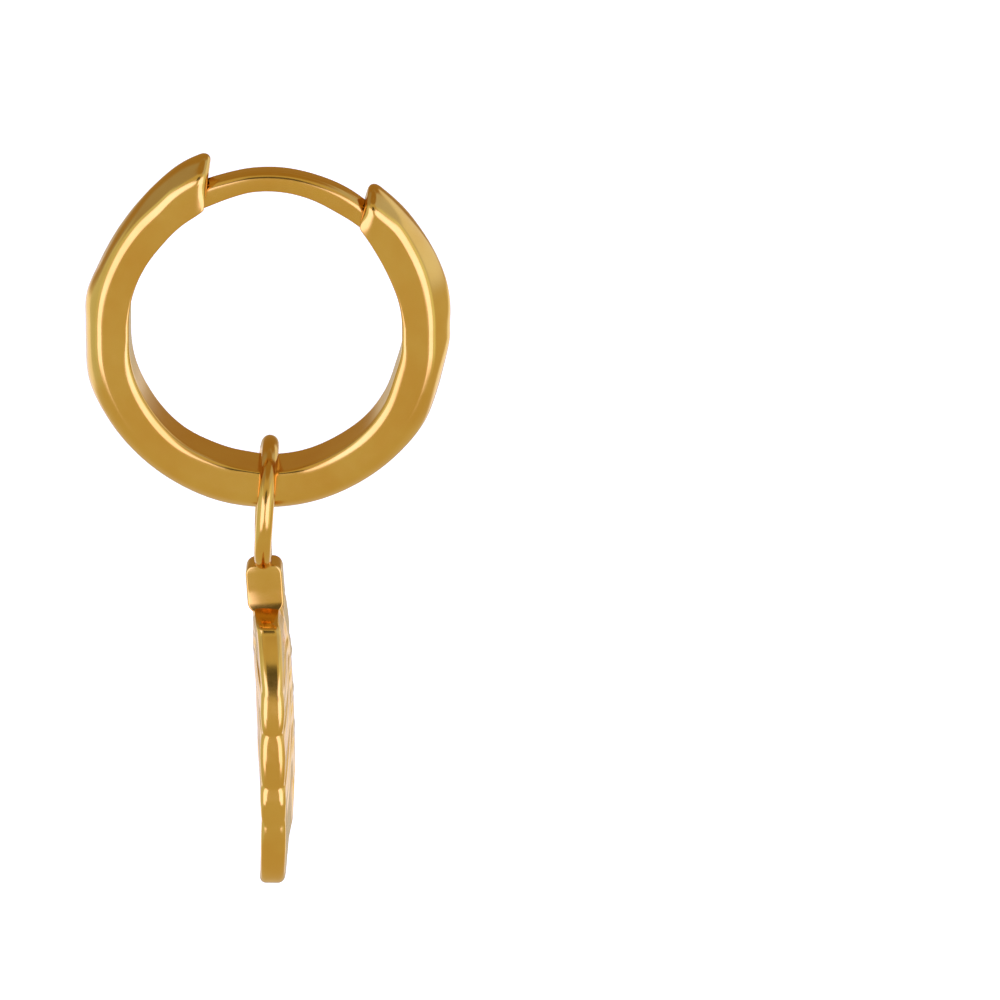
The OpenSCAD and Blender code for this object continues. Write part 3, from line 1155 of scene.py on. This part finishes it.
@dataclass
class Leaf:
    """The lobed leaf: fans of points from the middle rib to the rim, alike at front and back."""

    top: float
    root_x: float
    height: float = 10.65
    width: float = 7.2
    thick: float = 1.36
    bow: float = 0.34
    bow_power: float = 4.0
    tip_back: float = 0.17
    tip_power: float = 8.0
    vein_h: float = 0.1
    fold_h: float = 0.08
    rim_round: float = 0.25
    rib_width: float = 0.14
    vein_width: float = 0.14
    fold_width: float = 0.1
    side_swell: float = 0.04
    corner_power: float = 4.0
    notch_power: float = 3.0
    vein_share: float = 0.8
    # The most of the rim's half thickness and of a fan's length that its rounding takes.
    round_share: float = 0.9
    round_length: float = 1 / 3
    lobe_steps: int = 28
    face_steps: int = 26
    round_steps: int = 8
    flat_steps: int = 3
    # The folds between the lobes, from the collar down to the tip. The columns are the rib share
    # where the fold starts, the width share and height share where it ends, and its rim's share
    # of the leaf's thickness.
    folds: Table = (
        (0.00, 0.10, 0.000, 0.84),
        (0.11, 0.92, 0.225, 0.54),
        (0.225, 0.96, 0.37, 0.52),
        (0.34, 0.975, 0.56, 0.60),
        (0.47, 0.93, 0.69, 0.66),
        (0.60, 0.00, 1.00, 0.70),
    )
    # The lobes between them. The columns are the width share and height share of the lobe's
    # outermost point, and its rim's share of the leaf's thickness. The first row's point is
    # where the rounded corner between the leaf's flat top and its side ends.
    lobes: Table = (
        (0.60, 0.035, 0.60),
        (0.97, 0.295, 0.60),
        (1.00, 0.46, 0.64),
        (0.99, 0.62, 0.67),
    )
    # How full the two faces are, by height share. The columns are the left face and the right.
    belly: Table = (
        (0.00, 0.72, 0.72),
        (0.15, 1.00, 1.00),
        (0.49, 0.98, 1.00),
        (0.62, 0.70, 1.00),
        (0.79, 0.68, 0.96),
        (0.87, 0.66, 0.66),
        (1.00, 0.60, 0.58),
    )
    # How far the rim lies to the right of the leaf's middle, by height share.
    rim_shift: Table = (
        (0.00, 0.00),
        (0.04, 0.13),
        (0.20, 0.12),
        (0.37, 0.03),
        (0.60, 0.00),
        (1.00, 0.00),
    )

    def corner(self, q: float) -> Point:
        """Gives the first lobe's rim, which turns from the flat top and runs down the side.

        Args:
            q: how far along the lobe the point lies.

        Returns:
            Its width share, height share and thickness share.
        """
        first, after, peak = self.folds[0], self.folds[1], self.lobes[0]
        if q < 0.5:
            turn = math.pi * q
            across = lerp(first[1], peak[0], math.sin(turn))
            down = lerp(first[2], peak[1], 1 - math.cos(turn))
            return across, down, lerp(peak[2], first[3], (1 - 2 * q) ** self.corner_power)
        swell = self.side_swell * math.sin(2 * math.pi * q - math.pi)
        across = lerp(peak[0], after[1], 2 * q - 1) + swell
        return across, lerp(peak[1], after[2], 2 * q - 1), lerp(peak[2], after[3], 2 * q - 1)

    def rim(self, k: int, q: float) -> Point:
        """Gives a rim point's width share, height share and thickness share.

        Args:
            k: the lobe's number from the top.
            q: how far across the lobe the point lies.

        Returns:
            The three shares.
        """
        above, below = self.folds[k], self.folds[k + 1]
        if k == 0:
            return self.corner(q)
        if k == len(self.lobes):
            turn = math.radians(90 * q)
            across = above[1] * math.cos(turn) if q < 1 else 0.0
            return across, lerp(above[2], 1.0, math.sin(turn)), lerp(above[3], below[3], q)
        peak = self.lobes[k]
        bulge = max(math.sin(math.pi * q), 0.0)
        across, down = (
            lerp(above[i], below[i], q) + bulge * (peak[i - 1] - (above[i] + below[i]) / 2) for i in (1, 2)
        )
        near_fold = abs(2 * q - 1) ** self.notch_power
        return across, down, lerp(peak[2], (above if q < 0.5 else below)[3], near_fold)

    def relief(self, k: int, q: float, u: float) -> float:
        """Gives what the veins and folds add to the half thickness.

        Args:
            k: the lobe's number from the top.
            q: how far across the lobe the place lies.
            u: how far it lies from the rib to the rim.

        Returns:
            The gain in millimetres.
        """
        in_lobe = k < len(self.lobes)
        fold = bell(q, self.fold_width) + (bell(1 - q, self.fold_width) if in_lobe else 0)
        vein = bell(q - 0.5, self.vein_width) if in_lobe else bell(1 - q, self.vein_width)
        raised = max(bell(u, self.rib_width), vein * (1 - u * u) * self.vein_share)
        return self.vein_h * raised - self.fold_h * fold * math.sin(math.pi * u)

    def middle_x(self, d: float) -> float:
        """Gives the x of the leaf's middle surface at a height share."""
        bowed = self.bow * (1 - (1 - min(d, 1.0)) ** self.bow_power)
        return self.root_x + bowed - self.tip_back * d**self.tip_power

    def row(self, number: int) -> list[Point]:
        """Gives one fan of the leaf as a loop round both faces and both rims.

        Args:
            number: the fan's number from the top.

        Returns:
            The points, from the left face's rib over the near rim to the right face's rib, and
            back over the far rim.
        """
        k = min(number // self.lobe_steps, len(self.lobes))
        q = number / self.lobe_steps - k
        across, down, share = self.rim(k, q)
        origin = lerp(self.folds[k][0], self.folds[k + 1][0], q)
        length = math.hypot(across * self.width / 2, (down - origin) * self.height)
        rim_half = share * self.thick / 2
        bend = min(self.rim_round, rim_half * self.round_share, length * self.round_length)
        last_u = 1 - bend / length
        places = [last_u * i / self.face_steps for i in range(self.face_steps + 1)]
        faces = {}
        for side, column in ((-1, 1), (1, 2)):
            line: list[Pair] = []
            for u in places:
                d = lerp(origin, down, u)
                plain = (self.thick / 2 - self.vein_h) * line_at(self.belly, d, column)
                line.append((u, lerp(plain, rim_half, u * u) + self.relief(k, q, u)))
            edge = line[-1][1]
            for i in range(1, self.round_steps + 1):
                turn = math.radians(90 * i / self.round_steps)
                line.append((last_u + bend / length * math.sin(turn), edge - bend * (1 - math.cos(turn))))
            flat = edge - bend
            line += [(1.0, flat * (1 - i / self.flat_steps)) for i in range(1, self.flat_steps)]
            faces[side] = line
        outline = [(-1, u, half) for u, half in faces[-1]] + [(-1, 1.0, 0.0)]
        outline += [(1, u, half) for u, half in reversed(faces[1])]
        loop: list[Point] = []
        for near_far, order in ((-1, outline), (1, list(reversed(outline))[1:-1])):
            for side, u, half in order:
                d = lerp(origin, down, u)
                y = near_far * across * u * self.width / 2
                x = self.middle_x(d) + line_at(self.rim_shift, d) * u * u + side * half
                loop.append((x, y, self.top - d * self.height))
        return loop

    def build(self) -> bpy.types.Object:
        """Builds the leaf, flat at the top and welded along its lowest line.

        Returns:
            A closed mesh.
        """
        loops = [self.row(number) for number in range((len(self.lobes) + 1) * self.lobe_steps + 1)]
        top = tuple(reversed(range(len(loops[0]))))
        piece = make_mesh("leaf", [p for loop in loops for p in loop], skin(loops) + [top])
        return outward(weld(piece))


@dataclass(frozen=True)
class Panel:
    """A soft-edged patch of the studio's surroundings, placed by direction from the earring.

    Azimuth 0 is the photo's side, and 90 the earring's right. All angles are degrees.
    """

    azimuth: float
    elevation: float
    half_wide: float
    half_high: float
    soft: float
    light: float
    tone: LightTone = LightTone.WARM_ROOM

    def radiance(self) -> tuple[float, float, float, float]:
        """Gives the panel's light as a linear colour, which may pass 1."""
        red, green, blue, _ = linear(self.tone.value)
        return red * self.light, green * self.light, blue * self.light, 1.0


@dataclass
class Studio:
    """The floor, the surround with its mirrored light panels, and the camera of the photograph."""

    centre: Vector
    azimuth: float = 1.8
    elevation: float = 20.0
    distance: float = 1200.0
    px_per_mm: float = 27.7
    picture_px: float = 1000.0
    centre_px: Pair = (266.5, 326.0)
    sensor: float = 36.0
    clip_m: Pair = (0.01, 100.0)
    floor_drop: float = 300.0
    floor_r: float = 12000.0
    floor_glow: float = 0.6
    board: str = "#F6F6F6"
    board_roughness: float = 0.5
    room: Panel = Panel(0, 0, 180, 90, 1, 0.66)
    # A later panel covers an earlier one. First come the walls and the ceiling, then the lights low
    # behind and at the sides, the pale screens and the light boxes beside the camera, and last the
    # dark patch above it.
    panels: tuple[Panel, ...] = (
        Panel(-120, 45, 60, 45, 12, 0.52, LightTone.CREAM_WALL),
        Panel(110, 45, 60, 45, 12, 1.15, LightTone.SKYLIGHT),
        Panel(0, 74, 180, 10, 12, 0.42, LightTone.AMBER_WALL),
        Panel(180, 25, 40, 26, 12, 0.42, LightTone.AMBER_WALL),
        Panel(-92, -8, 25, 20, 10, 1.0, LightTone.PALE_WALL),
        Panel(180, -22, 18, 9, 8, 0.6, LightTone.WARM_ROOM),
        Panel(146, -21, 14, 8, 6, 2.1, LightTone.SKYLIGHT),
        Panel(-141, -21, 17, 8, 6, 2.1, LightTone.SKYLIGHT),
        Panel(120, 11, 27, 12, 8, 1.7, LightTone.SKYLIGHT),
        Panel(62, 4, 12, 24, 12, 1.3, LightTone.PALE_WALL),
        Panel(-62, 4, 12, 24, 12, 1.1, LightTone.PALE_WALL),
        Panel(38, -2, 13, 21, 7, 5.0, LightTone.COOL_BOX),
        Panel(-38, -2, 13, 21, 7, 5.0, LightTone.COOL_BOX),
        Panel(20, 0, 8, 13, 6, 5.0, LightTone.COOL_BOX),
        Panel(-20, 0, 8, 13, 6, 5.0, LightTone.COOL_BOX),
        Panel(0, 28, 13, 9, 4, 0.12),
    )

    def back(self) -> tuple[Vector, Vector, Vector]:
        """Gives the camera's directions.

        Returns:
            The directions from the earring to the camera, to the right and up the picture.
        """
        a, e = math.radians(self.azimuth), math.radians(self.elevation)
        back = Vector((math.sin(a) * math.cos(e), -math.cos(a) * math.cos(e), math.sin(e)))
        right = Vector((math.cos(a), math.sin(a), 0))
        return back, right, back.cross(right)

    def make_camera(self) -> None:
        """Makes the long-lens camera, with the hoop's centre where the photograph has it."""
        back, right, up = self.back()
        middle = self.picture_px / 2
        aim = (
            self.centre
            + right * ((middle - self.centre_px[0]) / self.px_per_mm)
            - up * ((middle - self.centre_px[1]) / self.px_per_mm)
        )
        data = bpy.data.cameras.new("photo_camera")
        data.sensor_width = self.sensor
        data.lens = self.px_per_mm * self.sensor / self.picture_px * self.distance
        data.clip_start, data.clip_end = self.clip_m
        camera = bpy.data.objects.new("photo_camera", data)
        camera.location = (aim + back * self.distance) * MM
        camera.rotation_mode = "QUATERNION"
        camera.rotation_quaternion = (-back).to_track_quat("-Z", "Y")
        bpy.context.scene.collection.objects.link(camera)
        bpy.context.scene.camera = camera

    def make_floor(self) -> None:
        """Makes the pale floor far under the hanging earring, a white board lit from within."""
        # Lit opal acrylic, cast and matt, which the eye takes for plain white paper without an end.
        sides = 64
        angles = [2 * math.pi * i / sides for i in range(sides)]
        z = -self.floor_drop
        disc = [(self.floor_r * math.cos(a), self.floor_r * math.sin(a), z) for a in angles]
        floor = make_mesh("floor", disc, [tuple(range(sides))])
        material = bpy.data.materials.new("lit_white_acrylic_board")
        material.use_nodes = True
        tree = material.node_tree
        tree.nodes.clear()
        board = add_node(
            tree,
            "ShaderNodeBsdfDiffuse",
            inputs={"Color": linear(self.board), "Roughness": self.board_roughness},
        )
        glow = add_node(tree, "ShaderNodeEmission", inputs={"Strength": self.floor_glow})
        both = add_node(tree, "ShaderNodeAddShader", inputs={0: board.outputs[0], 1: glow.outputs[0]})
        add_node(tree, "ShaderNodeOutputMaterial", inputs={"Surface": both.outputs[0]})
        floor.data.materials.append(material)
        floor.visible_glossy = False

    def make_surround(self) -> None:
        """Lights the scene from its surroundings, a plain light tent with the panels on it."""
        world = bpy.data.worlds.new("light_tent")
        world.use_nodes = True
        tree = world.node_tree
        tree.nodes.clear()
        way = add_node(tree, "ShaderNodeTexCoord").outputs["Generated"]
        parts = add_node(tree, "ShaderNodeSeparateXYZ", inputs={"Vector": way}).outputs
        minus_y = add_node(tree, "ShaderNodeMath", {"operation": "MULTIPLY"}, {0: parts["Y"], 1: -1.0})
        side = add_node(
            tree,
            "ShaderNodeMath",
            {"operation": "ARCTAN2"},
            {0: parts["X"], 1: minus_y.outputs[0]},
        )
        rise = add_node(tree, "ShaderNodeMath", {"operation": "ARCSINE"}, {0: parts["Z"]})
        light: object = self.room.radiance()
        for panel in self.panels:
            across = add_node(
                tree,
                "ShaderNodeMath",
                {"operation": "SUBTRACT"},
                {0: side.outputs[0], 1: math.radians(panel.azimuth)},
            )
            turned = add_node(
                tree,
                "ShaderNodeMath",
                {"operation": "WRAP"},
                {0: across.outputs[0], 1: math.pi, 2: -math.pi},
            )
            above = add_node(
                tree,
                "ShaderNodeMath",
                {"operation": "SUBTRACT"},
                {0: rise.outputs[0], 1: math.radians(panel.elevation)},
            )
            mask: object = 1.0
            for angle, half in ((turned, panel.half_wide), (above, panel.half_high)):
                size = add_node(tree, "ShaderNodeMath", {"operation": "ABSOLUTE"}, {0: angle.outputs[0]})
                fade = add_node(
                    tree,
                    "ShaderNodeMapRange",
                    {"interpolation_type": "SMOOTHSTEP"},
                    {
                        "Value": size.outputs[0],
                        "From Min": math.radians(half),
                        "From Max": math.radians(half + panel.soft),
                        "To Min": 1.0,
                        "To Max": 0.0,
                    },
                )
                mask = add_node(
                    tree,
                    "ShaderNodeMath",
                    {"operation": "MULTIPLY"},
                    {0: mask, 1: fade.outputs[0]},
                ).outputs[0]
            light = add_node(
                tree,
                "ShaderNodeMix",
                {"data_type": "RGBA"},
                {MIX_SHARE: mask, MIX_FIRST: light, MIX_SECOND: panel.radiance()},
            ).outputs[MIX_RESULT]
        # Behind the earring the tent itself reads as plain white paper.
        seen = add_node(tree, "ShaderNodeLightPath").outputs["Is Camera Ray"]
        shown = add_node(
            tree,
            "ShaderNodeMix",
            {"data_type": "RGBA"},
            {MIX_SHARE: seen, MIX_FIRST: light, MIX_SECOND: linear(LightTone.PAPER.value)},
        ).outputs[MIX_RESULT]
        shader = add_node(tree, "ShaderNodeBackground", inputs={"Color": shown, "Strength": 1.0})
        add_node(tree, "ShaderNodeOutputWorld", inputs={"Surface": shader.outputs[0]})
        bpy.context.scene.world = world

    def build(self) -> None:
        """Makes the whole studio."""
        self.make_camera()
        self.make_floor()
        self.make_surround()
        bpy.context.scene.view_settings.view_transform = "Standard"


def main() -> None:
    """Builds the earring's pieces and the studio round them."""
    # The frame gives the boxes and joints. The band's thickness, its straight run at each side and
    # the collar's lap over the leaf are the part's own sizes.
    logging.basicConfig(level=logging.INFO, format="%(name)s: %(message)s")
    band_t = 1.52
    side_run = 0.55
    collar_lap = 0.15
    hoop_low, hoop_high = box_mm("hoop_body")
    pin_low, pin_high = box_mm("hinge_pin")
    swing = joint_mm("charm_swing")
    outer_r = hoop_high.x
    low_z = hoop_low.z + outer_r
    plan = HoopPlan(outer_r=outer_r, hole_r=outer_r - band_t, arc_z=low_z + side_run, low_z=low_z)
    Studio(centre=Vector((0, 0, low_z + side_run / 2))).build()

    pin = HingePin(place=joint_mm("post_hinge"), ends=(pin_low.y, pin_high.y))
    post = EarPost(plan=plan, pin=pin)
    hoop = HoopBody(plan=plan, pin=pin, post=post, band_half=hoop_high.y)
    finish_piece(hoop.build(), "hoop", "hoop_body", PolishedGoldPlate("polished_gold_plate_band"))
    finish_piece(post.build(), "post", "ear_post", PolishedGoldPlate("polished_gold_plate_post"))
    finish_piece(pin.build(), "hoop", "hinge_pin", PolishedGoldPlate("polished_gold_plate_pin"))

    ring = CharmRing(centre_z=swing.z)
    leaf = Leaf(top=ring.root().z + collar_lap, root_x=ring.root().x)
    charm = ring.build_wire()
    cut(charm, ring.build_collar(), Cut.ADD)
    cut(charm, leaf.build(), Cut.ADD)
    soften(charm, CAST_CREASE_DEG)
    finish_piece(charm, "drop", "charm", PolishedGoldPlate("polished_gold_plate_charm"))


if __name__ == "__main__":
    main()
